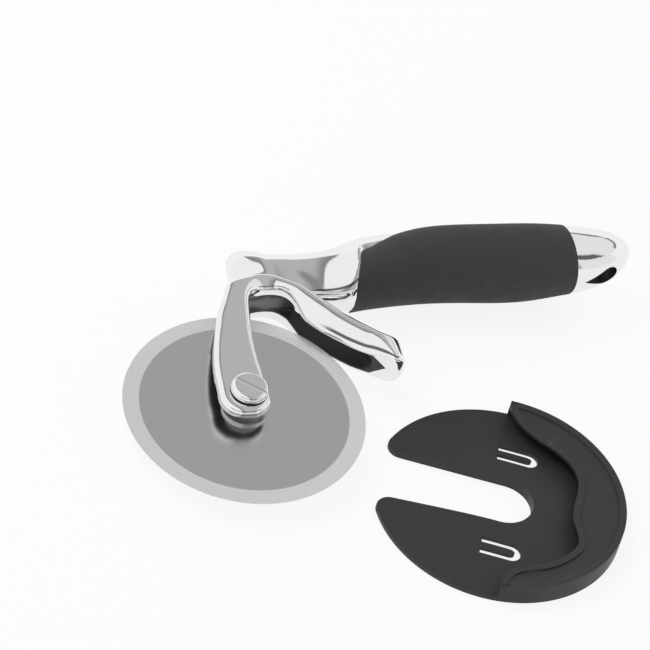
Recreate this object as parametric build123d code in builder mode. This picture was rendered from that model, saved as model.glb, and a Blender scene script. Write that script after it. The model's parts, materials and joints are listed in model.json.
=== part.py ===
"""A pizza cutter wheel lying on a table with its blade cover beside it, in millimetres.

The cutter is laid out in its own frame, which the plane LIE carries to the table: along the
handle, up the blade from its axle towards the handle, and out along the axle.
"""
import os
from math import cos, hypot, radians, sin, sqrt

from build123d import *

os.makedirs("parts", exist_ok=True)

# Blade
blade_diameter = 100.0
blade_thickness = 1.2
bevel_width = 6.8
edge_thickness = 0.3

# Axle, hub and washers
axle_diameter = 6.0
running_clearance = 0.05
hub_barrel_diameter = 12.0
hub_flange_diameter = 19.0
hub_flange_thickness = 1.3
washer_diameter = 14.0
washer_thickness = 0.9
side_play = 0.15
screw_head_diameter = 15.6
screw_head_height = 3.6
screw_head_round = 2.0
screw_slot_width = 1.5
screw_slot_depth = 1.5
screw_thread_diameter = 4.6
nut_barrel_diameter = 8.0
nut_head_diameter = 12.5
nut_head_depth = 2.2
nut_web = 1.5
seat_clearance = 0.1

# Yoke casting: two arms, the finger guard, the head and the neck
fork_width = 23.8
arm_gap_at_hub = 14.2
arm_gap_at_arch = 10.0
arm_width = 22.0
arm_edge_radius = 2.6
guard_nose_along = 60.4
guard_slot_end = 58.5
guard_slot_corner = 4.2
guard_slot_start = 6.0
guard_slot_roof = 57.0
guard_slot_bend = 35.0
guard_slot_shoulder = 44.7
head_round = 2.4
blade_well_radius = 58.0
blade_well_edge = 3.0

# Corners of the yoke's side view, from the lower end of the arm, each with its rounding radius
hairpin_corners = [
    (-12.9, -11.0, 9.5),
    (9.8, -11.0, 9.5),
    (7.3, 26.0, 120.0),
    (12.0, 56.6, 9.0),
    (28.2, 57.2, 9.0),
    (34.4, 39.6, 14.0),
    (54.6, 22.6, 16.0),
    (74.0, 19.2, 5.6),
    (73.2, 32.4, 5.4),
    (61.0, 33.6, 16.0),
    (34.5, 57.4, 20.0),
    (20.5, 65.6, 16.0),
    (4.2, 61.6, 9.0),
    (-4.6, 42.0, 60.0),
    (-11.6, 18.0, 90.0),
]

# Crown that rounds the guard's limbs: (along, up, half height, half width, lean) of each oval
crown_stations = [
    (9.0, 65.0, 15.0, 18.0, -8.0),
    (17.0, 62.2, 9.2, 13.6, 10.0),
    (24.0, 60.2, 7.6, 12.4, 26.0),
    (31.5, 54.8, 7.4, 12.2, 44.0),
    (39.1, 46.0, 7.8, 12.2, 46.0),
    (48.7, 36.0, 7.8, 12.1, 40.0),
    (58.0, 29.2, 7.4, 12.0, 26.0),
    (67.0, 26.2, 7.4, 12.0, 10.0),
    (78.0, 25.4, 7.2, 12.0, 2.0),
]

# Head and neck: (along, height above the axle, half height, half width) of each oval section
neck_stations = [
    (7.4, 72.2, 8.4, 5.2),
    (10.5, 72.0, 11.4, 7.2),
    (16.0, 72.0, 12.8, 8.0),
    (24.5, 70.2, 11.8, 8.0),
    (34.0, 69.4, 10.2, 8.0),
    (44.5, 67.9, 10.3, 8.9),
    (53.0, 67.3, 10.7, 11.2),
]

# Handle: each station is (along, height above the axle, half height, half width)
handle_stations = [
    (75.0, 71.2, 12.0, 17.0),
    (86.0, 73.6, 12.7, 18.6),
    (112.0, 74.5, 13.5, 19.2),
    (138.0, 74.1, 13.7, 18.6),
    (152.0, 74.6, 13.3, 16.1),
    (161.0, 74.9, 12.8, 14.0),
    (169.0, 75.5, 11.0, 11.8),
    (175.5, 76.3, 8.2, 9.0),
    (179.4, 77.0, 5.0, 5.8),
    (180.8, 77.3, 3.0, 3.8),
]
rim_along, rim_up = 61.2, 67.0
rim_half_height, rim_half_width = 11.4, 14.9
rim_lean = 12.8
grip_rear_along, grip_rear_up = 152.4, 75.5
grip_rear_lean = -11.7
grip_wall = 3.2
tang_diameter = 8.0
tang_start = (46.0, 68.6)
tang_finish = (158.0, 75.2)
hang_hole_along, hang_hole_up = 169.6, 76.4
hang_hole_round, hang_hole_point = 4.4, 10.4
cap_end_radius = 1.6

# Blade cover: a plate that falls from its middle to its edge, and a pocket round the closed end
cover_diameter = 104.2
cover_middle_height = 6.2
cover_edge_height = 1.8
cover_skin = 1.6
cover_flange = 1.8
cover_height = 9.6
cover_roof = 2.0
cover_slot_width = 25.2
cover_slot_end = 14.2
cover_tip_radius = 5.5
cover_turn = -21.0
cover_along, cover_across = 101.0, -42.5
roof_border, roof_recess = 2.8, 0.7
cover_mouth = [
    (-2.9, 50.3),
    (1.5, 41.0),
    (12.2, 33.5),
    (22.5, 27.8),
    (29.5, 18.5),
    (30.2, 6.0),
    (31.0, -6.0),
    (34.4, -16.5),
    (30.0, -26.2),
    (20.0, -34.8),
    (10.0, -41.0),
    (6.6, -50.0),
]
tongue_length, tongue_width, tongue_slit = 12.6, 8.4, 1.6
tongue_along, tongue_across = 2.4, 26.8

# Rest: where the cutter leans on the round end of its lower arm, turned from the handle's line
rest_heading = 25.0

# The cutter lies on the belly of its grip and on one spot of the lower arm's round end
blade_radius = blade_diameter / 2
arm_face = fork_width / 2
arm_end_radius = arm_width / 2
lean_along, lean_up = cos(radians(rest_heading)), sin(radians(rest_heading))
heel_corner_along, heel_corner_up, heel_round = hairpin_corners[0]
heel_along = heel_corner_along + heel_round - (heel_round - arm_edge_radius) * lean_along
heel_up = heel_corner_up + heel_round - (heel_round - arm_edge_radius) * lean_up
heel_out = arm_edge_radius - arm_face


def rest_height(slope):
    """How far the axle's middle stands above the table on the heel, and on the grip."""
    level = sqrt(1 - slope**2)
    heel = arm_edge_radius - slope * (heel_along * lean_along + heel_up * lean_up) - level * heel_out
    belly = max(
        hypot(level * half_width, slope * lean_up * half_height) - slope * (along * lean_along + up * lean_up)
        for along, up, half_height, half_width in handle_stations
    )
    return heel, belly


low_slope, high_slope = 0.0, 0.3
for _ in range(40):
    lie_slope = (low_slope + high_slope) / 2
    on_heel, on_grip = rest_height(lie_slope)
    if on_grip > on_heel:
        low_slope = lie_slope
    else:
        high_slope = lie_slope
axle_height = on_heel
lie_level = sqrt(1 - lie_slope**2)
TABLE = Plane(
    origin=(0, 0, 0),
    x_dir=(lie_level, 0, -lie_slope * lean_along),
    z_dir=(lie_slope * lean_along, lie_slope * lean_up, lie_level),
)
handle_dir = TABLE.to_local_coords(Vector(1, 0, 0))
axle_dir = TABLE.to_local_coords(Vector(0, 0, 1))

# The origin is under the middle of the cutter and its cover together
cap_tip = TABLE.to_local_coords(Vector(handle_stations[-1][0], handle_stations[-1][1], 0))
top_station = max(handle_stations, key=lambda station: station[1] + station[2])
handle_top = TABLE.to_local_coords(Vector(top_station[0], top_station[1] + top_station[2], 0))
axle_along = (blade_radius - cap_tip.X) / 2
axle_across = (cover_diameter / 2 - cover_across - handle_top.Y) / 2
LIE = Plane(origin=(axle_along, axle_across, axle_height), x_dir=handle_dir, z_dir=axle_dir)


def spot(along, up, out=0.0):
    """A point of the cutter's own frame, on the table."""
    return LIE.from_local_coords(Vector(along, up, out))


def square_to_handle(along, up, lean=0.0):
    """A plane across the handle: its x runs up the blade and its y out along the axle."""
    turn = radians(lean)
    flat = spot(sin(turn), cos(turn)) - LIE.origin
    ahead = spot(cos(turn), -sin(turn)) - LIE.origin
    return Plane(origin=spot(along, up), x_dir=flat, z_dir=ahead)


RIM = square_to_handle(rim_along, rim_up, rim_lean)
GRIP_REAR = square_to_handle(grip_rear_along, grip_rear_up, grip_rear_lean)
AXLE = Axis(LIE.origin, LIE.z_dir)


def handle_form(inset):
    """The handle's oval body from the yoke's rim to its tip, drawn in by an inset."""
    with BuildPart() as form:
        with BuildSketch(RIM):
            Ellipse(rim_half_height - inset, rim_half_width - inset)
        for along, up, half_height, half_width in handle_stations:
            if min(half_height, half_width) > inset + 1:
                with BuildSketch(square_to_handle(along, up)):
                    Ellipse(half_height - inset, half_width - inset)
        loft()
    return form.part


tang_line = spot(*tang_finish) - spot(*tang_start)
tang_plane = Plane(origin=spot(*tang_start), z_dir=tang_line)


# Blade: a disc ground to a bevel on both faces
with BuildPart() as cutting_wheel:
    with BuildSketch(Plane(origin=LIE.origin, x_dir=LIE.x_dir, z_dir=-LIE.y_dir)):
        with BuildLine():
            Polyline(
                (hub_barrel_diameter / 2, -blade_thickness / 2),
                (blade_radius - bevel_width, -blade_thickness / 2),
                (blade_radius, -edge_thickness / 2),
                (blade_radius, edge_thickness / 2),
                (blade_radius - bevel_width, blade_thickness / 2),
                (hub_barrel_diameter / 2, blade_thickness / 2),
                close=True,
            )
        make_face()
    revolve(axis=AXLE)
cutting_wheel.part.label = "cutting_wheel"
export_step(cutting_wheel.part, "parts/cutting_wheel.step")

# Hub: a flanged bush through the blade, and the collar pressed on to hold the blade against it
stack = arm_gap_at_hub / 2 - washer_thickness
barrel_end = stack - side_play
axle_bore = axle_diameter / 2 + running_clearance
with BuildPart() as hub_bush:
    with BuildSketch(LIE.offset(-barrel_end)):
        Circle(hub_barrel_diameter / 2)
        Circle(axle_bore, mode=Mode.SUBTRACT)
    extrude(amount=2 * barrel_end)
    with BuildSketch(LIE.offset(-blade_thickness / 2 - hub_flange_thickness)):
        Circle(hub_flange_diameter / 2)
        Circle(hub_barrel_diameter / 2, mode=Mode.SUBTRACT)
    extrude(amount=hub_flange_thickness)
hub_bush.part.label = "hub_bush"
export_step(hub_bush.part, "parts/hub_bush.step")

with BuildPart() as hub_collar:
    with BuildSketch(LIE.offset(blade_thickness / 2)):
        Circle(hub_flange_diameter / 2)
        Circle(hub_barrel_diameter / 2, mode=Mode.SUBTRACT)
    extrude(amount=hub_flange_thickness)
hub_collar.part.label = "hub_collar"
export_step(hub_collar.part, "parts/hub_collar.step")

# Washers between the hub and the arms
with BuildPart() as thrust_washers:
    for level in (-arm_gap_at_hub / 2, arm_gap_at_hub / 2 - washer_thickness):
        with BuildSketch(LIE.offset(level)):
            Circle(washer_diameter / 2)
            Circle(axle_bore, mode=Mode.SUBTRACT)
        extrude(amount=washer_thickness)
thrust_washers.part.label = "thrust_washers"
export_step(thrust_washers.part, "parts/thrust_washers.step")

# Axle screw: a slotted cheese head on the upper arm, its shank, and a thread into the nut
screw_end = -arm_face + nut_web + seat_clearance
with BuildPart() as axle_screw:
    with BuildSketch(LIE.offset(arm_face)):
        Circle(screw_head_diameter / 2)
    extrude(amount=screw_head_height)
    fillet(axle_screw.edges().filter_by(GeomType.CIRCLE).sort_by(AXLE)[-1], screw_head_round)
    with BuildSketch(LIE.offset(-arm_gap_at_hub / 2)):
        Circle(axle_diameter / 2)
    extrude(amount=arm_gap_at_hub / 2 + arm_face)
    with BuildSketch(LIE.offset(screw_end)):
        Circle(screw_thread_diameter / 2)
    extrude(amount=-arm_gap_at_hub / 2 - screw_end)
    with BuildSketch(LIE.offset(arm_face + screw_head_height - screw_slot_depth)):
        Rectangle(2 * screw_head_diameter, screw_slot_width, rotation=-38)
    extrude(amount=screw_slot_depth, mode=Mode.SUBTRACT)
axle_screw.part.label = "axle_screw"
export_step(axle_screw.part, "parts/axle_screw.step")

# Sleeve nut: its countersunk head lies flush in the lower arm
nut_floor = -arm_face + nut_web
with BuildPart() as axle_nut:
    with BuildSketch(Plane(origin=LIE.origin, x_dir=LIE.x_dir, z_dir=-LIE.y_dir)):
        with BuildLine():
            Polyline(
                (0, -arm_face),
                (nut_head_diameter / 2, -arm_face),
                (nut_barrel_diameter / 2, -arm_face + nut_head_depth),
                (nut_barrel_diameter / 2, -arm_gap_at_hub / 2),
                (screw_thread_diameter / 2, -arm_gap_at_hub / 2),
                (screw_thread_diameter / 2, nut_floor),
                (0, nut_floor),
                close=True,
            )
        make_face()
    revolve(axis=AXLE)
axle_nut.part.label = "axle_nut"
export_step(axle_nut.part, "parts/axle_nut.step")

# Blade well: the turned space between the arms, cut through the guard and into the head
with BuildPart() as blade_well:
    with BuildSketch(Plane(origin=LIE.origin, x_dir=LIE.x_dir, z_dir=-LIE.y_dir)):
        with BuildLine():
            Polyline(
                (0, -arm_gap_at_hub / 2),
                (arm_end_radius + 1, -arm_gap_at_hub / 2),
                (blade_radius - bevel_width, -arm_gap_at_arch / 2),
                (blade_well_radius, -arm_gap_at_arch / 2),
                (blade_well_radius, arm_gap_at_arch / 2),
                (blade_radius - bevel_width, arm_gap_at_arch / 2),
                (arm_end_radius + 1, arm_gap_at_hub / 2),
                (0, arm_gap_at_hub / 2),
                close=True,
            )
        make_face()
    revolve(axis=AXLE)
    fillet(blade_well.edges().filter_by(GeomType.CIRCLE).group_by(SortBy.RADIUS)[-1], blade_well_edge)

# Guard slot: the opening between the two limbs of the finger guard, from the well to the nose
slot_foot = arm_end_radius + 1
with BuildPart() as guard_slot:
    with BuildSketch(LIE.offset(-arm_gap_at_arch / 2)):
        with BuildLine():
            Polyline(
                (guard_slot_start, slot_foot),
                (guard_slot_start, guard_slot_roof),
                (guard_slot_bend, guard_slot_roof),
                (guard_slot_end, guard_slot_shoulder),
                (guard_slot_end, slot_foot),
                close=True,
            )
        make_face()
    extrude(amount=arm_gap_at_arch)
    upright_edges = guard_slot.edges().filter_by(Axis(LIE.origin, LIE.y_dir))
    fillet(upright_edges.sort_by(Axis(LIE.origin, LIE.x_dir))[-2:], guard_slot_corner)

# Crown of the guard: an oval tube, wide open over the arms, that rounds the arch, limbs and nose
yoke_reach = max(hypot(along, up) for along, up, _ in hairpin_corners)
inner_arch = hairpin_corners[3]
with BuildPart() as guard_crown:
    for along, up, half_height, half_width, lean in crown_stations:
        with BuildSketch(square_to_handle(along, up, lean)):
            Ellipse(half_height, half_width)
    loft()
    with BuildSketch(LIE.offset(-fork_width)):
        with BuildLine():
            Polyline(
                (inner_arch[0], inner_arch[1]),
                (2 * inner_arch[0], 0),
                (2 * inner_arch[0], -yoke_reach),
                (-yoke_reach, -yoke_reach),
                (-yoke_reach, 2 * yoke_reach),
                (0, 2 * yoke_reach),
                close=True,
            )
        make_face()
    extrude(amount=2 * fork_width)

# Head, neck and horn
with BuildPart() as neck_form:
    for along, up, half_height, half_width in neck_stations:
        with BuildSketch(square_to_handle(along, up)):
            Ellipse(half_height, half_width)
    with BuildSketch(RIM):
        Ellipse(rim_half_height, rim_half_width)
    loft()
    fillet(neck_form.edges().sort_by(Axis(LIE.origin, LIE.x_dir))[0], head_round)

# Yoke casting
with BuildPart() as frame:
    # Hairpin arms and finger guard: one profile right through, its nose rounded in plan
    with BuildSketch(LIE.offset(-arm_face)):
        with BuildLine():
            FilletPolyline(
                [corner[:2] for corner in hairpin_corners],
                radius=[corner[2] for corner in hairpin_corners],
                close=True,
            )
        make_face()
    extrude(amount=fork_width)
    with BuildSketch(Plane(origin=LIE.origin, x_dir=LIE.x_dir, z_dir=LIE.y_dir)):
        Rectangle(yoke_reach, fork_width, align=(Align.MAX, Align.CENTER))
        Rectangle(guard_nose_along, fork_width, align=(Align.MIN, Align.CENTER))
        with Locations((guard_nose_along, 0)):
            Circle(arm_face)
    extrude(amount=yoke_reach, both=True, mode=Mode.INTERSECT)
    outer_faces = frame.faces().filter_by(LIE).sort_by(AXLE)
    fillet(outer_faces[0].edges() + outer_faces[-1].edges(), arm_edge_radius)
    add(guard_crown.part, mode=Mode.INTERSECT)
    # Head, neck and horn: one oval bar that flares to the rim that the grip butts against
    add(neck_form.part)
    add(blade_well.part, mode=Mode.SUBTRACT)
    add(guard_slot.part, mode=Mode.SUBTRACT)
    # Axle holes and the socket for the tang
    with BuildSketch(LIE):
        Circle(axle_diameter / 2 + seat_clearance)
    extrude(amount=fork_width, mode=Mode.SUBTRACT)
    with BuildSketch(LIE):
        Circle(nut_barrel_diameter / 2 + seat_clearance)
    extrude(amount=-fork_width, mode=Mode.SUBTRACT)
    with BuildSketch(LIE.offset(-arm_face)):
        Circle(nut_head_diameter / 2 + seat_clearance)
    with BuildSketch(LIE.offset(-arm_face + nut_head_depth + seat_clearance)):
        Circle(nut_barrel_diameter / 2 + seat_clearance)
    loft(mode=Mode.SUBTRACT)
    with BuildSketch(tang_plane):
        Circle(tang_diameter / 2 + seat_clearance)
    extrude(amount=tang_line.length, mode=Mode.SUBTRACT)
frame.part.label = "frame"
export_step(frame.part, "parts/frame.step")

# Tang: the steel rod that ties yoke, core and cap together
with BuildPart() as tang_rod:
    with BuildSketch(tang_plane):
        Circle(tang_diameter / 2)
    extrude(amount=tang_line.length)
tang_rod.part.label = "tang_rod"
export_step(tang_rod.part, "parts/tang_rod.step")

# Handle: a hard core, the soft grip moulded over it, and the end cap
outer_form = handle_form(0)
inner_form = handle_form(grip_wall)
with BuildPart() as tang_bore:
    with BuildSketch(tang_plane):
        Circle(tang_diameter / 2 + seat_clearance)
    extrude(amount=tang_line.length + seat_clearance)

with BuildPart() as grip_core:
    add(inner_form)
    split(bisect_by=GRIP_REAR, keep=Keep.BOTTOM)
    add(tang_bore.part, mode=Mode.SUBTRACT)
grip_core.part.label = "grip_core"
export_step(grip_core.part, "parts/grip_core.step")

with BuildPart() as soft_grip:
    add(outer_form)
    split(bisect_by=GRIP_REAR, keep=Keep.BOTTOM)
    add(inner_form, mode=Mode.SUBTRACT)
soft_grip.part.label = "soft_grip"
export_step(soft_grip.part, "parts/soft_grip.step")

with BuildPart() as end_cap:
    add(outer_form)
    split(bisect_by=GRIP_REAR, keep=Keep.TOP)
    fillet(end_cap.edges().sort_by(Axis(LIE.origin, LIE.x_dir))[-1], cap_end_radius)
    add(tang_bore.part, mode=Mode.SUBTRACT)
    with BuildSketch(Plane(origin=spot(hang_hole_along, hang_hole_up), x_dir=LIE.x_dir, z_dir=LIE.y_dir)):
        with BuildLine():
            touch = hang_hole_round**2 / hang_hole_point
            half = hang_hole_round * sqrt(1 - (hang_hole_round / hang_hole_point) ** 2)
            Line((-hang_hole_point, 0), (-touch, half))
            ThreePointArc((-touch, half), (hang_hole_round, 0), (-touch, -half))
            Line((-touch, -half), (-hang_hole_point, 0))
        make_face()
    extrude(amount=2 * rim_half_height, both=True, mode=Mode.SUBTRACT)
end_cap.part.label = "end_cap"
export_step(end_cap.part, "parts/end_cap.step")

# Blade cover: a horseshoe plate with a pocket for the blade's edge at its closed end
COVER = Plane(origin=(axle_along + cover_along, axle_across + cover_across, 0), z_dir=(0, 0, 1)).rotated(
    (0, 0, cover_turn)
)
cover_radius = cover_diameter / 2
tongue_inner_length = tongue_length + tongue_width - 2 * tongue_slit


def horseshoe(inset):
    """The cover's outline drawn in by an inset: a disc with a round-ended slot to its middle."""
    with BuildSketch(mode=Mode.PRIVATE) as plan:
        Circle(cover_radius)
        with Locations((cover_slot_end, 0)):
            SlotOverall(4 * cover_radius, cover_slot_width, align=(Align.MAX, Align.CENTER), mode=Mode.SUBTRACT)
        fillet(plan.vertices().group_by(Axis.X)[0], cover_tip_radius)
        if inset:
            offset(amount=-inset, kind=Kind.INTERSECTION)
    return plan.sketch


def lip_points():
    """The mouth's points pushed back under the roof by its border, square to the mouth."""
    ends = [cover_mouth[0], *cover_mouth, cover_mouth[-1]]
    pushed = []
    for before, here, after in zip(ends, ends[1:], ends[2:]):
        along, across = after[0] - before[0], after[1] - before[1]
        run = hypot(along, across)
        pushed.append((here[0] - roof_border * across / run, here[1] + roof_border * along / run))
    return pushed


def roof_plan(inset):
    """The roof's outline, or inside its border: the disc beyond the wavy mouth."""
    with BuildSketch(mode=Mode.PRIVATE) as plan:
        Circle(cover_radius - inset)
        with BuildLine():
            mouth = Spline(lip_points() if inset else cover_mouth)
            Polyline(
                mouth @ 1,
                (mouth @ 1) - Vector(0, cover_radius),
                (-cover_diameter, -cover_diameter),
                (-cover_diameter, cover_diameter),
                (mouth @ 0) + Vector(0, cover_radius),
                mouth @ 0,
            )
        make_face(mode=Mode.SUBTRACT)
    return plan.sketch


def under_cone(lift):
    """The space under the plate's top, which falls to its edge, lowered by a lift."""
    with BuildPart() as cone:
        with BuildSketch(Plane(origin=COVER.origin, x_dir=COVER.x_dir, z_dir=-COVER.y_dir)):
            with BuildLine():
                Polyline(
                    (0, -cover_height),
                    (cover_radius, -cover_height),
                    (cover_radius, cover_edge_height - lift),
                    (0, cover_middle_height - lift),
                    close=True,
                )
            make_face()
        revolve(axis=Axis(COVER.origin, COVER.z_dir))
    return cone.part


# The hollow under the plate, inside its walls, and the room in the pocket for the blade's edge
with BuildPart() as cover_hollow:
    with BuildSketch(COVER.offset(-cover_height)):
        add(horseshoe(cover_flange))
    extrude(amount=2 * cover_height)
    add(under_cone(cover_skin), mode=Mode.INTERSECT)

with BuildPart() as pocket_room:
    with BuildSketch(COVER):
        add(roof_plan(0))
        Circle(cover_radius - cover_flange, mode=Mode.INTERSECT)
    extrude(amount=cover_height - cover_roof)
    add(under_cone(0), mode=Mode.SUBTRACT)

with BuildPart() as blade_cover:
    with BuildSketch(COVER):
        add(horseshoe(0))
    extrude(amount=cover_height)
    add(under_cone(0), mode=Mode.INTERSECT)
    # Pocket: its roof, sunk inside a raised border
    with BuildSketch(COVER):
        add(roof_plan(0))
    extrude(amount=cover_height)
    with BuildSketch(COVER.offset(cover_height)):
        add(roof_plan(roof_border))
    extrude(amount=-roof_recess, mode=Mode.SUBTRACT)
    add(cover_hollow.part, mode=Mode.SUBTRACT)
    add(pocket_room.part, mode=Mode.SUBTRACT)
    # Two sprung tongues, each cut free by a hooped slit
    for side in (-1, 1):
        with BuildSketch(COVER):
            with Locations((tongue_along, side * tongue_across)):
                SlotOverall(tongue_inner_length + 2 * tongue_slit, tongue_width)
                SlotOverall(tongue_inner_length, tongue_width - 2 * tongue_slit, mode=Mode.SUBTRACT)
            with Locations((tongue_along - tongue_length / 2, side * tongue_across)):
                Rectangle(tongue_width, tongue_width, align=(Align.MAX, Align.CENTER), mode=Mode.SUBTRACT)
        extrude(amount=cover_height - cover_roof, mode=Mode.SUBTRACT)
blade_cover.part.label = "blade_cover"
export_step(blade_cover.part, "parts/blade_cover.step")
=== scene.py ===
# %% [markdown]
# A pizza cutter wheel lies on a pale table beside its blade cover. The imported CAD model already
# holds every real piece at its real size, so this lesson dresses it: a camera that sees it as the
# photograph does, soft studio light that gives polished metal something to mirror, and a finish
# for each piece, worked out from where a point lies on it. Nothing that follows may grow past it.

import bmesh
import bpy
import json
import numpy as np
from mathutils import Matrix, Vector


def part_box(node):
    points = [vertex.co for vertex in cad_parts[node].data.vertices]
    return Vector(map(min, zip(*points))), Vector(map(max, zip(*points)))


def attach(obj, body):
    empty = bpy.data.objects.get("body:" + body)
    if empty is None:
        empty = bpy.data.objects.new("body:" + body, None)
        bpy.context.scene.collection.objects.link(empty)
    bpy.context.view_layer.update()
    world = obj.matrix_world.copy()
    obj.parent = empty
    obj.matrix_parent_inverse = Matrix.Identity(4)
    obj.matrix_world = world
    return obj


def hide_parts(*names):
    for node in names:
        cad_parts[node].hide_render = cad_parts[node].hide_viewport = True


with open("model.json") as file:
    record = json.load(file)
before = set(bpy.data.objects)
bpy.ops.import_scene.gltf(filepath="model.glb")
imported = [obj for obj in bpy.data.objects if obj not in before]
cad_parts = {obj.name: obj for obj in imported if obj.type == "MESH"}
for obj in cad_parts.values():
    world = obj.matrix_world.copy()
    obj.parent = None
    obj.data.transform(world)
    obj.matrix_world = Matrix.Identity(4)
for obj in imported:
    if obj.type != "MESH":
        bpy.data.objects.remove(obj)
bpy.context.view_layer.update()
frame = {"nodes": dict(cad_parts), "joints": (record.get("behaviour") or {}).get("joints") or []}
nodes = frame["nodes"]
print("nodes", sorted(nodes))

# %% [markdown]
# The cutter lies a few degrees off level, because the belly of its grip is thicker than its arms.
# All that belongs to it is easier to place in its own three directions: along the handle, up the
# blade from the axle towards the handle, and out along the axle. The wheel's joint gives them.

# %% The cutter's own directions
spin = next(joint for joint in frame["joints"] if joint["name"] == "wheel_spin")
hub = Vector(spin["pos_m"])
out_dir = Vector(spin["axis"]).normalized()
along_dir = Vector((out_dir.z, 0, -out_dir.x)).normalized()
up_dir = out_dir.cross(along_dir)
print("hub", tuple(round(value, 4) for value in hub))
print("axle", tuple(round(value, 3) for value in out_dir))

# %% [markdown]
# The photograph was taken from far off through a long lens: the far and near edges of the blade
# are almost the same size in it. The three rows below are the picture's right, its up and the way
# back to the camera, each written along the cutter's own directions, so the cutter keeps its
# place in the picture however it comes to rest on the table. The place of the hub as the camera
# sees it, in metres, then says where the camera stands.

# %% Camera
picture_right = along_dir * 0.9605 - up_dir * 0.2097 + out_dir * 0.1827
picture_up = along_dir * 0.0369 + up_dir * 0.7472 + out_dir * 0.6636
picture_back = along_dir * -0.2757 - up_dir * 0.6307 + out_dir * 0.7254
hub_in_view = Vector((-0.032681, -0.034425, -4.041594))
focal_pixels = 10000
picture_pixels = 650
sensor_width = 36

camera_data = bpy.data.cameras.new("studio_camera")
camera_data.sensor_width = sensor_width
camera_data.lens = sensor_width * focal_pixels / picture_pixels
camera_data.clip_end = 20
camera = bpy.data.objects.new("studio_camera", camera_data)
bpy.context.scene.collection.objects.link(camera)
turn = Matrix((picture_right, picture_up, picture_back)).transposed().to_quaternion()
camera.rotation_mode = "QUATERNION"
camera.rotation_quaternion = turn
camera.location = hub - turn @ hub_in_view
bpy.context.scene.camera = camera
print("camera", tuple(round(value, 3) for value in camera.location), "lens", round(camera_data.lens, 1))

# %% [markdown]
# A finish is shader arithmetic: distances, masks and mixes. Wiring each Math node by hand hides
# the formula, so the small class below wraps a socket: adding or multiplying two of them adds the
# Math node for it. Every other node comes from one function, which takes the node's type, its
# settings and what its sockets hold.

# %% Shader arithmetic
class Wire:
    """A shader socket that can be added, multiplied and passed on."""

    def __init__(self, tree, socket):
        self.tree = tree
        self.socket = socket

    def math(self, operation, other=0.0):
        return make_node(self.tree, "ShaderNodeMath", {"operation": operation}, 0, **{"0": self, "1": other})

    def __add__(self, other):
        return self.math("ADD", other)

    __radd__ = __add__

    def __mul__(self, other):
        return self.math("MULTIPLY", other)

    __rmul__ = __mul__

    def __sub__(self, other):
        return self.math("SUBTRACT", other)

    def __rsub__(self, other):
        return (self * -1.0) + other

    def __abs__(self):
        return self.math("ABSOLUTE")

    def step(self, low, high, at_low=0.0, at_high=1.0, shape="SMOOTHSTEP"):
        """A ramp from at_low to at_high as the value goes from low to high."""
        return make_node(
            self.tree, "ShaderNodeMapRange", {"interpolation_type": shape}, 0,
            **{"Value": self, "From Min": low, "From Max": high, "To Min": at_low, "To Max": at_high},
        )


def make_node(tree, kind, settings=None, output=0, **inputs):
    """Adds a node and gives one of its outputs. Sockets go by their name, or by number where several
    share one name."""
    node = tree.nodes.new(kind)
    for key, value in (settings or {}).items():
        setattr(node, key, value)
    for key, value in inputs.items():
        socket = node.inputs[int(key) if key.isdigit() else key]
        if isinstance(value, Wire):
            tree.links.new(value.socket, socket)
        else:
            socket.default_value = value
    return Wire(tree, node.outputs[output])


# %% [markdown]
# Every finish starts from a plain Principled shader with its constant values on its own sockets.
# What changes over the surface is plugged in afterwards: roughness, base colour and bump.

# %% Making a finish
def new_finish(name, base, metallic, roughness, specular=0.5):
    """A material with a bare Principled shader. Gives the material, its tree and the shader."""
    material = bpy.data.materials.new(name)
    material.use_nodes = True
    tree = material.node_tree
    shader = tree.nodes["Principled BSDF"]
    shader.inputs["Base Color"].default_value = (*base, 1)
    shader.inputs["Metallic"].default_value = metallic
    shader.inputs["Roughness"].default_value = roughness
    shader.inputs["Specular IOR Level"].default_value = specular
    return material, tree, shader


def plug(tree, wire, shader, name):
    tree.links.new(wire.socket, shader.inputs[name])


def paint_shade_and_highlight(tree, shader, mask, marked):
    """The base colour turns from the shader's own to another one where the mask is one. It paints shade and
    highlights into the colour.
    """
    plain = tuple(shader.inputs["Base Color"].default_value)
    mixed = make_node(
        tree, "ShaderNodeMix", {"data_type": "RGBA"}, 2, **{"0": mask, "6": plain, "7": (*marked, 1)}
    )
    plug(tree, mixed, shader, "Base Color")


def raise_surface(tree, shader, height, strength, lift):
    """Bump from a height: where it is one, the surface seems to stand up by the lift, in metres."""
    bump = make_node(tree, "ShaderNodeBump", Height=height, Strength=strength, Distance=lift)
    plug(tree, bump, shader, "Normal")


def dress(material, *names):
    """Puts one material on CAD nodes."""
    for name in names:
        mesh = nodes[name].data
        mesh.materials.clear()
        mesh.materials.append(material)


# %% [markdown]
# Grinding rings run round the axle, a well is cut to a radius and a slot to a height. All of these
# are easy to write down once the shader knows where a point lies on the cutter. Texture
# Coordinate's Object output gives the place in metres on the table; taking the hub away, turning
# it and scaling it gives millimetres along the handle, up the blade and out along the axle.

# %% Where a point lies on the cutter
def cutter_place(tree):
    """The point's place in the cutter's directions from the axle's middle, in millimetres."""
    turn_back = Matrix((along_dir, up_dir, out_dir))
    spot = make_node(tree, "ShaderNodeTexCoord", output="Object")
    moved = make_node(
        tree, "ShaderNodeVectorMath", {"operation": "SUBTRACT"}, 0, **{"0": spot, "1": tuple(hub)}
    )
    turned = make_node(
        tree, "ShaderNodeVectorRotate", {"rotation_type": "EULER_XYZ"}, 0,
        Vector=moved, Rotation=tuple(turn_back.to_euler("XYZ")),
    )
    return make_node(
        tree, "ShaderNodeVectorMath", {"operation": "SCALE"}, 0, **{"0": turned, "Scale": 1000.0}
    )


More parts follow.
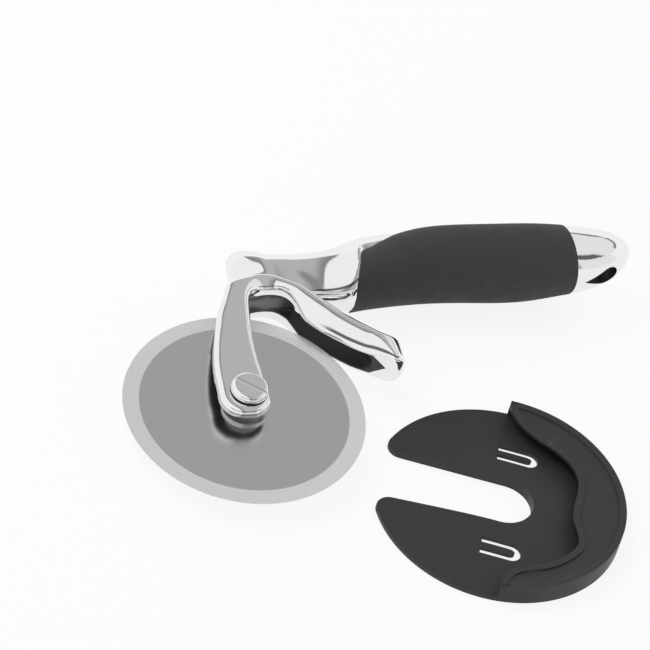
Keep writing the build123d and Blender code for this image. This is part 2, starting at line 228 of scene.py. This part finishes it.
def from_axle(tree):
    """Along, up and out from the axle's middle, in millimetres."""
    parts = tree.nodes.new("ShaderNodeSeparateXYZ")
    tree.links.new(cutter_place(tree).socket, parts.inputs[0])
    return [Wire(tree, socket) for socket in parts.outputs]


def distance(first, second):
    """The square root of the first value's square plus the second's."""
    return (first * first + second * second).math("SQRT")


def cloudy(tree, low, high, size):
    """A value that wanders between low and high over patches of about that many millimetres."""
    place = cutter_place(tree)
    noise = make_node(tree, "ShaderNodeTexNoise", Vector=place, Scale=1 / size, Detail=3.0)
    return noise.step(0.3, 0.7, low, high)


def streaks(tree, first, second, detail):
    """Noise that is fine along the first value and the second one, for ground and turned steel."""
    place = make_node(tree, "ShaderNodeCombineXYZ", X=first, Y=second)
    return make_node(
        tree, "ShaderNodeTexNoise", {"noise_dimensions": "2D"}, Vector=place, Scale=1.0, Detail=detail
    )


# %% [markdown]
# Polished metal shows whatever stands round it, so its look is made by the room. A product studio
# is a white tent with flags: here a grey flag overhead and a brighter side wall on each hand. Large
# lamps and cards could be placed for it, but a room that is a function of direction alone, measured
# along the cutter's own three directions, keeps every reflection where the photograph has it.

# %% Flag and walls
scene = bpy.context.scene
scene.view_settings.view_transform = "Standard"
world = bpy.data.worlds.new("studio")
scene.world = world
world.use_nodes = True
world_tree = world.node_tree
world_tree.nodes.clear()
look = make_node(world_tree, "ShaderNodeTexCoord", output="Generated")


def share_of(direction):
    """How far the ray goes along one of the cutter's directions, from -1 to 1."""
    return make_node(
        world_tree, "ShaderNodeVectorMath", {"operation": "DOT_PRODUCT"}, "Value",
        **{"0": look, "1": tuple(direction)},
    )


ray_along, ray_up, ray_out = share_of(along_dir), share_of(up_dir), share_of(out_dir)
flag_level, flag_shade = 0.50, 0.24
left_wall, right_wall = 0.97, 0.86
flag = flag_level - ray_along.step(0.2, -0.05, 0.0, flag_shade)
room = flag + (right_wall - flag) * ray_along.step(0.47, 0.52)
room = room + (left_wall - room) * ray_along.step(-0.06, -0.09)
print("flag", flag_level, "walls", left_wall, right_wall)

# %% [markdown]
# Behind the cutter a white sweep comes up from the table. Where cloth meets cloth there is a thin
# dark seam, one behind and one in front, and these draw the black lines in the chrome. The camera
# itself sees plain white past the table.

# %% Sweep and seams
sweep_top = 0.40
back_seam_dark, front_seam_dark = 0.8, 0.85
sweep = ray_out.step(sweep_top, sweep_top - 0.03) * ray_up.step(-0.35, -0.25)
seam_low = ray_out.step(sweep_top - 0.01, sweep_top + 0.01)
seam_high = ray_out.step(sweep_top + 0.075, sweep_top + 0.055)
back_seam = seam_low * seam_high * ray_up.step(0.0, 0.1) * ray_along.step(0.30, 0.45)
room = room - room * back_seam * back_seam_dark
room = room + (1.0 - room) * sweep
front_seam = ray_out.step(0.40, 0.43) * ray_out.step(0.60, 0.56) * ray_up.step(-0.35, -0.45)
room = room - room * front_seam * front_seam_dark
seen = make_node(world_tree, "ShaderNodeLightPath", output="Is Camera Ray")
world_background = make_node(
    world_tree, "ShaderNodeBackground", Color=(1, 1, 1, 1), Strength=room * (1.0 - seen) + seen
)
world_out = world_tree.nodes.new("ShaderNodeOutputWorld")
world_tree.links.new(world_background.socket, world_out.inputs[0])
print("world nodes", len(world_tree.nodes))

# %% [markdown]
# One large soft lamp stands behind on the left and high up. It gives the faint shadows under the
# blade and the cover. It is hidden from mirror rays, so the chrome shows the room alone.

# %% Key panel
panel_place = Vector((-0.45, 0.35, 0.9))
panel_side = 0.5
panel_watts = 2.2
panel_data = bpy.data.lights.new("key_panel", "AREA")
panel_data.shape = "RECTANGLE"
panel_data.size = panel_side
panel_data.size_y = panel_side
panel_data.energy = panel_watts
panel = bpy.data.objects.new("key_panel", panel_data)
scene.collection.objects.link(panel)
panel.location = panel_place
panel.rotation_mode = "QUATERNION"
panel.rotation_quaternion = (-panel_place).to_track_quat("-Z", "Y")
panel.visible_glossy = False
print("lamps", [lamp.name for lamp in bpy.data.lights])

# %% [markdown]
# The table is one large pale plane. It is scenery. Light alone would leave it grey at the edges, so
# to the camera and to mirror rays most of it is plain white, and the rest is lit, which keeps the
# soft shadows.

# %% Floor
floor_half = 6
floor_white = 0.86
floor_turns = ((-1, -1), (1, -1), (1, 1), (-1, 1))
floor_corners = [(floor_half * right, floor_half * back, 0) for right, back in floor_turns]
floor_mesh = bpy.data.meshes.new("floor")
floor_mesh.from_pydata(floor_corners, [], [(0, 1, 2, 3)])
floor = bpy.data.objects.new("floor", floor_mesh)
scene.collection.objects.link(floor)
floor_finish, tree, shader = new_finish("floor_white", (0.95, 0.95, 0.95), 0, 0.9, specular=0.0)
floor_mesh.materials.append(floor_finish)
glow = make_node(tree, "ShaderNodeEmission", Color=(1, 1, 1, 1), Strength=1.0)
seen = make_node(tree, "ShaderNodeLightPath", output="Is Camera Ray")
mirrored = make_node(tree, "ShaderNodeLightPath", output="Is Glossy Ray")
lit = make_node(tree, "ShaderNodeMixShader", Fac=seen.math("MAXIMUM", mirrored) * floor_white)
tree.links.new(shader.outputs[0], lit.socket.node.inputs[1])
tree.links.new(glow.socket, lit.socket.node.inputs[2])
tree.links.new(lit.socket, tree.nodes["Material Output"].inputs["Surface"])
print("floor", floor_half * 2, "m wide")

# %% [markdown]
# The blade is a stamped disc of spring steel with a satin face, and both its faces are ground to a
# bevel near the edge. The wheel turns while it is ground, so the marks are rings: noise that is fine
# across the radius and long round it. The bevel is a little rougher than the face from its grinding,
# and its colour is painted lighter and less metallic: a painted highlight on the bevel.

# %% Blade steel
bevel_start, bevel_soft = 43.0, 0.5
blade_finish, tree, shader = new_finish("blade_steel", (0.65, 0.65, 0.66), 1, 0.2)
along, up, out = from_axle(tree)
radius = distance(along, up)
rings = streaks(tree, radius * 9.0, up.math("ARCTAN2", along) * 2.0, 3.0)
bevel_grind_and_highlight = radius.step(bevel_start, bevel_start + bevel_soft)
plug(tree, rings.step(0.3, 0.7, 0.17, 0.24) + bevel_grind_and_highlight * 0.06, shader, "Roughness")
# Painted highlight: the bevel gets a lighter, less metallic colour; its higher roughness is the real grind.
plug(tree, 1.0 - bevel_grind_and_highlight * 0.3, shader, "Metallic")
paint_shade_and_highlight(tree, shader, bevel_grind_and_highlight, (0.92, 0.92, 0.93))
raise_surface(tree, shader, rings, 0.15, 0.00002)
dress(blade_finish, "cutting_wheel")
print("blade finish nodes", len(tree.nodes))

# %% [markdown]
# The yoke is a casting that was ground and polished until no edge on it was sharp. The CAD solid has
# its arms, arch, guard and neck, but meets itself in crisp lines. It could be modelled again from
# nothing; copying its mesh keeps every size. Its points are moved by smooth hills, one even skin
# of small faces is laid over it and relaxed a few times, and that gives the soft flow of
# polished metal without changing what the piece is. First come the tools for this.

# %% Points of a mesh, measured on the cutter
axes = np.array([along_dir, up_dir, out_dir])
hub_spot = np.array(hub)


def read_points(mesh):
    """All vertices of a mesh in the cutter's directions, in millimetres, as columns."""
    flat = np.empty(len(mesh.vertices) * 3)
    mesh.vertices.foreach_get("co", flat)
    return ((flat.reshape(-1, 3) - hub_spot) @ axes.T * 1000).T


def write_points(mesh, along, up, out):
    flat = np.column_stack((along, up, out)) / 1000 @ axes + hub_spot
    mesh.vertices.foreach_set("co", flat.ravel())
    mesh.update()


def hill(value, low, high):
    """Nought up to low, one past high, and an even S-shaped rise between them: three times the
    square of the share less twice its cube."""
    part = np.clip((value - low) / (high - low), 0, 1)
    return part * part * (3 - 2 * part)


print("hub spot", hub_spot.round(4))


# %% [markdown]
# A CAD node's mesh is loose triangles, so a copy has its doubled points merged before anything
# moves it. Once its modifiers have done their work, their result takes the mesh's place.

# %% Copying and finishing a mesh
def merged_copy(name, source):
    """A copy of a CAD node's mesh with its doubled points merged, as a new object."""
    mesh = source.data.copy()
    mesh.name = name
    mesh.materials.clear()
    work = bmesh.new()
    work.from_mesh(mesh)
    bmesh.ops.remove_doubles(work, verts=work.verts, dist=1e-6)
    work.to_mesh(mesh)
    work.free()
    piece = bpy.data.objects.new(name, mesh)
    scene.collection.objects.link(piece)
    return piece


def finish_modifiers(piece):
    """Applies a piece's modifiers and shades it smooth."""
    made = bpy.data.meshes.new_from_object(piece.evaluated_get(bpy.context.evaluated_depsgraph_get()))
    made.name = piece.name
    piece.modifiers.clear()
    piece.data = made
    made.shade_smooth()


# %% [markdown]
# The neck swells into a horn that runs over the start of the grip, where the thumb rests, and it
# flares to the round rim that the grip butts against. Both are a row of ovals carried along the
# handle. A station says where along the handle it stands, how high its centre is, and its half
# height and half width, all in millimetres.

# %% Stations of horn and flare
horn_stations = np.array([
    (50.0, 70.6, 10.8, 8.6),
    (57.0, 71.0, 12.8, 11.6),
    (64.0, 72.2, 13.7, 13.6),
    (70.0, 73.0, 13.6, 14.2),
    (76.0, 74.0, 12.4, 15.0),
    (82.0, 74.5, 11.0, 15.0),
])
flare_stations = np.array([
    (17.0, 71.3, 9.6, 5.2),
    (23.5, 70.5, 11.3, 7.6),
    (30.0, 69.8, 11.6, 8.6),
    (37.0, 69.2, 11.7, 8.9),
    (45.0, 68.9, 12.4, 9.5),
    (52.0, 68.9, 13.4, 11.2),
    (57.5, 69.3, 14.2, 13.3),
    (61.0, 69.7, 14.5, 15.0),
])
rim_lean = 0.2234
rim_along, neck_height = 61.2, 67.0
print("stations", len(horn_stations), len(flare_stations))


# %% [markdown]
# Straight lines between stations would show as bands in the chrome. A smooth curve through them,
# with each station's slope taken from its neighbours, doesn't. The flare's later ovals lean
# forward, because the rim of the grip isn't square to the handle.

# %% Ovals carried along the handle
def smooth_rows(stations, count):
    """Rows between stations. With t the share of the way from one station to the next, the row is
    the first times (1 + 2t)(1 - t)^2, plus the second times t^2 (3 - 2t), plus the first's slope
    times t (1 - t)^2, less the second's slope times t^2 (1 - t)."""
    place = np.linspace(0, len(stations) - 1, count)
    low = np.minimum(place.astype(int), len(stations) - 2)
    part = (place - low)[:, None]
    slope = np.gradient(stations, axis=0)
    first, second = stations[low], stations[low + 1]
    hold = (1 + 2 * part) * (1 - part) ** 2 * first + part**2 * (3 - 2 * part) * second
    lean = part * (1 - part) ** 2 * slope[low] - part**2 * (1 - part) * slope[low + 1]
    return hold + lean


def oval_bar(name, stations, lean=0.0, rows=60, round_count=96):
    """An oval carried along the handle. Height is the centre's plus the half height times the
    cosine of the turn, and the width is the half width times its sine. Past the lean's start a
    point moves along by the lean's tangent times its height over the neck's middle line."""
    table = smooth_rows(stations, rows)
    turn = np.linspace(0, 2 * np.pi, round_count, endpoint=False)
    along = np.repeat(table[:, :1], round_count, axis=1)
    up = table[:, 1:2] + table[:, 2:3] * np.cos(turn)
    out = table[:, 3:4] * np.sin(turn)
    along = along + np.tan(lean) * (up - neck_height) * hill(along, 42.0, 60.0)
    spots = np.column_stack((along.ravel(), up.ravel(), out.ravel())) / 1000 @ axes + hub_spot
    ring = np.arange(round_count)
    after = (ring + 1) % round_count
    base = np.arange(rows - 1)[:, None] * round_count
    corners = (base + ring, base + after, base + after + round_count, base + ring + round_count)
    sides = np.stack(corners, axis=-1).reshape(-1, 4).tolist()
    ends = [ring[::-1].tolist(), (ring + (rows - 1) * round_count).tolist()]
    mesh = bpy.data.meshes.new(name)
    mesh.from_pydata(spots.tolist(), [], sides + ends)
    piece = bpy.data.objects.new(name, mesh)
    scene.collection.objects.link(piece)
    return piece


horn = oval_bar("thumb_horn", horn_stations)
flare = oval_bar("neck_flare", flare_stations, rim_lean)
print("horn and flare faces", len(horn.data.polygons), len(flare.data.polygons))

# %% [markdown]
# Casting, horn and flare are three closed shells that run through each other. Joining them with
# booleans would leave crisp lines again. A voxel remesh drapes one even skin over all three, and
# its small square faces follow every later move.

# %% One skin over casting, horn and flare
yoke = merged_copy("yoke_casting", nodes["frame"])
work = bmesh.new()
work.from_mesh(yoke.data)
work.from_mesh(horn.data)
work.from_mesh(flare.data)
bmesh.ops.recalc_face_normals(work, faces=work.faces)
work.to_mesh(yoke.data)
work.free()
bpy.data.objects.remove(horn)
bpy.data.objects.remove(flare)
skin = yoke.modifiers.new("even_skin", "REMESH")
skin.mode = "VOXEL"
skin.voxel_size = 0.0005
finish_modifiers(yoke)
print("skin faces", len(yoke.data.polygons))

# %% [markdown]
# The guard's limb has a crest along its outer side and falls away from it to both sides. To shape
# it, each point of the skin needs its nearest place on the limb's middle line: how far down the
# limb that is, and how far to the outer side the point lies.

# %% The guard's middle line
along, up, out = read_points(yoke.data)
limb_stations = np.array([
    (11.0, 61.8), (17.0, 62.2), (24.0, 60.2), (31.5, 54.8), (39.1, 46.0),
    (48.7, 36.0), (58.0, 29.2), (67.0, 26.2), (75.0, 25.5),
])
limb_line = smooth_rows(limb_stations, 160)
limb_run = np.gradient(limb_line, axis=0)
limb_run = limb_run / np.linalg.norm(limb_run, axis=1)[:, None]
limb_steps = np.linalg.norm(np.diff(limb_line, axis=0), axis=1)
limb_far = np.concatenate(([0], np.cumsum(limb_steps)))
gap_along = along[:, None] - limb_line[:, 0]
gap_up = up[:, None] - limb_line[:, 1]
nearest = np.argmin(gap_along**2 + gap_up**2, axis=1)
rows = np.arange(len(along))
side = gap_up[rows, nearest] * limb_run[nearest, 0] - gap_along[rows, nearest] * limb_run[nearest, 1]
print("limb length", round(float(limb_far[-1]), 1), "mm")

# %% [markdown]
# Three moves shape the skin. The guard's limb narrows away from its crest, the more the further a
# point is from it. The head is a lobe that narrows to its free end. The nose of the guard hangs a
# little lower than the solid's.

# %% Crest, lobe and nose
crest_side, crest_round = 3.0, 4.0
fall_inwards, fall_outwards = 0.42, 0.3
half_fork = 11.9
head_lift, nose_drop = 1.5, 3.0
head_places = (6, 10.5, 14, 18, 22, 25, 30)
head_widths = (0.6, 0.66, 0.77, 0.9, 1.03, 1.03, 1.0)
neck_part = hill(up, 64.0, 68.0) * hill(along, 66.0, 58.0)
crest_part = hill(limb_far[nearest], 0.0, 9.0) * hill(np.abs(side), 13.0, 8.5) * (1 - neck_part)
from_crest = side - crest_side
fall = np.where(from_crest < 0, fall_inwards, fall_outwards)
fall = fall * (np.sqrt(from_crest**2 + crest_round**2) - crest_round)
out = out * (1 - crest_part * fall * np.abs(out) / half_fork**2)
out = out * (1 + neck_part * (np.interp(along, head_places, head_widths) - 1))
along = along + head_lift * neck_part * hill(along, 17.0, 7.0)
up = up - nose_drop * hill(along, 56.0, 71.0) * hill(up, 50.0, 44.0)
print("points on the crest", int((crest_part > 0).sum()), "and on the neck", int((neck_part > 0).sum()))

# %% [markdown]
# The rubber was moulded over the end of the neck, so the metal's end is drawn a little smaller and
# pushed under the rubber's crisp edge. Then the skin is relaxed: each point moves half way to the
# middle of its neighbours, many times. The inner corner of the arch gets more rounds, blended in.

# %% Tuck under the grip and relax
ahead = (along - rim_along) * np.cos(rim_lean) - (up - neck_height) * np.sin(rim_lean)
in_rubber = ((up - neck_height) / 12.0) ** 2 + (out / 15.5) ** 2 < 1
tuck = hill(ahead, -1.2, -0.2) * in_rubber
tuck_depth, tuck_share = 0.9, 0.02
along = along + tuck_depth * tuck
up = up - tuck_share * (up - neck_height) * tuck
out = out * (1 - tuck_share * tuck)
write_points(yoke.data, along, up, out)

arch_corner = hill(np.hypot(along - 15.0, up - 60.0), 12.0, 6.0)
group = yoke.vertex_groups.new(name="arch_corner")
for level in range(1, 11):
    group.add(np.flatnonzero(np.round(arch_corner * 10) == level).tolist(), level / 10, "REPLACE")
for name, rounds, where in (("relax", 22, ""), ("blend_in", 60, group.name)):
    relax = yoke.modifiers.new(name, "SMOOTH")
    relax.factor = 0.5
    relax.iterations = rounds
    relax.vertex_group = where
finish_modifiers(yoke)
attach(yoke, "frame")
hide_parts("frame")
print("yoke faces", len(yoke.data.polygons))

# %% [markdown]
# The casting is mirror-bright outside. Inside the blade well and the guard's slot the walls are
# painted near black and made duller: painted shade, for the dark that falls deep between the arms.
# The mask is the well's and the slot's own shape: between the arms, and either inside the well's
# radius or under the slot's roof, which is level up to a bend and slants down after it, and not past
# the slot's pointed end.

# %% Polished casting
mirror_metal = (0.86, 0.86, 0.87)
mask_soft = 0.3
well_reach = 58.3
gap_at_hub, gap_at_arch, gap_extra = 7.1, 5.0, 0.25
slot_start, slot_end, slot_point = 5.6, 58.6, 1.1
roof_height, roof_bend, roof_slant = 57.2, 35.0, 0.52
polish, tree, shader = new_finish("polished_casting", mirror_metal, 1, 0.07)
along, up, out = from_axle(tree)
radius = distance(along, up)
well_gap = radius.step(12.0, 43.2, gap_at_hub, gap_at_arch, "LINEAR")
between_arms = (well_gap + gap_extra - abs(out)).step(0.0, 0.1)
in_well = radius.step(well_reach + mask_soft, well_reach)
roof = roof_height - (along - roof_bend).math("MAXIMUM", 0.0) * roof_slant
in_slot = (roof - up).step(0.0, mask_soft) * along.step(slot_start, slot_start + mask_soft)
slot_tip = slot_end + (gap_at_arch - abs(out)) * slot_point
painted_shade_inside = between_arms * in_well.math("MAXIMUM", in_slot) * (slot_tip - along).step(0.0, mask_soft)
# Painted shade: the well and slot walls are near black and less metallic.
paint_shade_and_highlight(tree, shader, painted_shade_inside, (0.05, 0.05, 0.051))
plug(tree, painted_shade_inside * 0.38 + cloudy(tree, 0.055, 0.085, 6.0), shader, "Roughness")
plug(tree, 1.0 - painted_shade_inside * 0.5, shader, "Metallic")
yoke.data.materials.append(polish)
dress(polish, "frame")
print("casting finish nodes", len(tree.nodes))

# %% [markdown]
# The end cap is the same metal with a hanging hole. Its wall is painted dark grey and made duller:
# painted shade, for the shade inside the hole. The hole is a teardrop: a circle, and towards the
# grip a wedge that comes to a point.

# %% Polished cap
hole_along, hole_radius = 169.6, 4.46
hole_point, hole_slope = 10.4, 0.467
bright, tree, shader = new_finish("polished_cap", mirror_metal, 1, 0.07)
along, up, out = from_axle(tree)
from_hole = along - hole_along
round_part = distance(from_hole, out).step(hole_radius + 0.04, hole_radius)
wedge = (from_hole + hole_point) * hole_slope + 0.08 - abs(out)
pointed_part = wedge.step(0.0, 0.03) * from_hole.step(-1.8, -1.9)
hole_painted_shade = round_part.math("MAXIMUM", pointed_part)
# Painted shade: the hole's wall is dark grey.
paint_shade_and_highlight(tree, shader, hole_painted_shade, (0.2, 0.2, 0.2))
plug(tree, hole_painted_shade * 0.3 + cloudy(tree, 0.055, 0.085, 6.0), shader, "Roughness")
dress(bright, "end_cap")
print("cap finish nodes", len(tree.nodes))

# %% [markdown]
# The axle screw has a bright head. Its lowest band, where it stands on the arm, and the shank below
# are painted near black and duller: a painted shadow for the dark gap under the head.

# %% Polished screw
shadow_band_top = 12.8
screw_finish, tree, shader = new_finish("polished_screw", mirror_metal, 1, 0.09)
along, up, out = from_axle(tree)
painted_shadow_band = out.step(shadow_band_top, shadow_band_top - 0.1)
# Painted shadow: the head's lowest band, next to the arm, is near black.
paint_shade_and_highlight(tree, shader, painted_shadow_band, (0.03, 0.03, 0.03))
plug(tree, painted_shadow_band * 0.4 + cloudy(tree, 0.07, 0.11, 3.0), shader, "Roughness")
dress(screw_finish, "axle_screw")
print("screw finish nodes", len(tree.nodes))

# %% [markdown]
# Hub, nut and rod are turned on a lathe, which leaves fine rings that follow the radius on a face
# and the length on a side. The thrust washers are pale nylon, plain but for a cloudy gloss.

# %% Turned steel and nylon
steel, tree, shader = new_finish("turned_steel", (0.6, 0.6, 0.6), 1, 0.3)
along, up, out = from_axle(tree)
turning = streaks(tree, distance(along, up) * 8.0, out * 8.0, 2.0)
plug(tree, turning.step(0.3, 0.7, 0.24, 0.38), shader, "Roughness")
raise_surface(tree, shader, turning, 0.2, 0.00002)
dress(steel, "hub_bush", "hub_collar", "axle_nut", "tang_rod")
nylon, tree, shader = new_finish("washer_nylon", (0.75, 0.75, 0.72), 0, 0.5)
plug(tree, cloudy(tree, 0.42, 0.6, 1.5), shader, "Roughness")
dress(nylon, "thrust_washers")
print("turned steel nodes", len(steel.node_tree.nodes))

# %% [markdown]
# The grip is soft black rubber with a matte, faintly grained skin. Fine noise lifts the surface by
# a tenth of a millimetre at most, and broader noise varies how dull it is. The hard core that it is
# moulded on is a plainer, glossier black.

# %% Rubber grip and its core
rubber, tree, shader = new_finish("grip_rubber", (0.05, 0.05, 0.053), 0, 0.72, specular=0.35)
grain = make_node(tree, "ShaderNodeTexNoise", Vector=cutter_place(tree), Scale=6.0, Detail=3.0)
raise_surface(tree, shader, grain, 0.3, 0.0001)
plug(tree, cloudy(tree, 0.66, 0.78, 4.0), shader, "Roughness")
dress(rubber, "soft_grip")
core, tree, shader = new_finish("core_plastic", (0.09, 0.09, 0.095), 0, 0.5)
plug(tree, cloudy(tree, 0.42, 0.58, 3.0), shader, "Roughness")
dress(core, "grip_core")
print("rubber finish nodes", len(rubber.node_tree.nodes))

# %% [markdown]
# The cover is one moulding of hard black plastic. Its two sprung tongues are slimmer than the CAD's,
# so that the table shows through the slits round them. A copy of its mesh gets them drawn in: points
# within a tongue's outline move towards its middle line and towards its root. Its curved roof is
# made of long thin triangles, so edges are kept sharp by their angle and normals weighed by area.

# %% Cover
cover = merged_copy("cover_moulding", nodes["blade_cover"])
flat = np.empty(len(cover.data.vertices) * 3)
cover.data.vertices.foreach_get("co", flat)
spots = flat.reshape(-1, 3)
cover_turn = np.radians(-21.0)
cover_middle = np.array(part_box("blade_cover")).mean(axis=0)[:2]
cover_axes = np.array([[np.cos(cover_turn), np.sin(cover_turn)], [-np.sin(cover_turn), np.cos(cover_turn)]])
tongue_root, tongue_middle, tongue_half_length = -3.9, 3.7, 7.8
tongue_across, tongue_half_width = 26.8, 2.7
slim, short = 0.55, 0.93
on_cover = (spots[:, :2] - cover_middle) @ cover_axes.T * 1000
from_line = np.abs(on_cover[:, 1]) - tongue_across
in_tongue = np.abs(from_line) < tongue_half_width
in_tongue = in_tongue & (np.abs(on_cover[:, 0] - tongue_middle) < tongue_half_length)
slimmer = np.sign(on_cover[:, 1]) * (tongue_across + from_line * slim)
shorter = tongue_root + (on_cover[:, 0] - tongue_root) * short
on_cover = np.where(in_tongue[:, None], np.column_stack((shorter, slimmer)), on_cover)
spots[:, :2] = on_cover / 1000 @ cover_axes + cover_middle
cover.data.vertices.foreach_set("co", spots.ravel())
cover.data.update()
cover.data.set_sharp_from_angle(angle=np.radians(35.0))
even = cover.modifiers.new("even_normals", "WEIGHTED_NORMAL")
even.keep_sharp = True
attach(cover, "cover")
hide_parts("blade_cover")
print("cover points", len(spots), "moved with the tongues", int(in_tongue.sum()))

# %% [markdown]
# The plastic comes from a spark-eroded mould: an even, very fine texture that breaks up the gloss.
# Its size is below a millimetre, and a broad cloud varies the gloss as handling does.

# %% Plastic
plastic, tree, shader = new_finish("cover_plastic", (0.036, 0.036, 0.038), 0, 0.5, specular=0.35)
spot = make_node(tree, "ShaderNodeTexCoord", output="Object")
spark = make_node(tree, "ShaderNodeTexNoise", Vector=spot, Scale=2600.0, Detail=2.0)
cloud = make_node(tree, "ShaderNodeTexNoise", Vector=spot, Scale=60.0, Detail=2.0)
plug(tree, cloud.step(0.3, 0.7, 0.42, 0.56), shader, "Roughness")
raise_surface(tree, shader, spark, 0.35, 0.00006)
cover.data.materials.append(plastic)
dress(plastic, "blade_cover")
print("plastic finish nodes", len(tree.nodes))
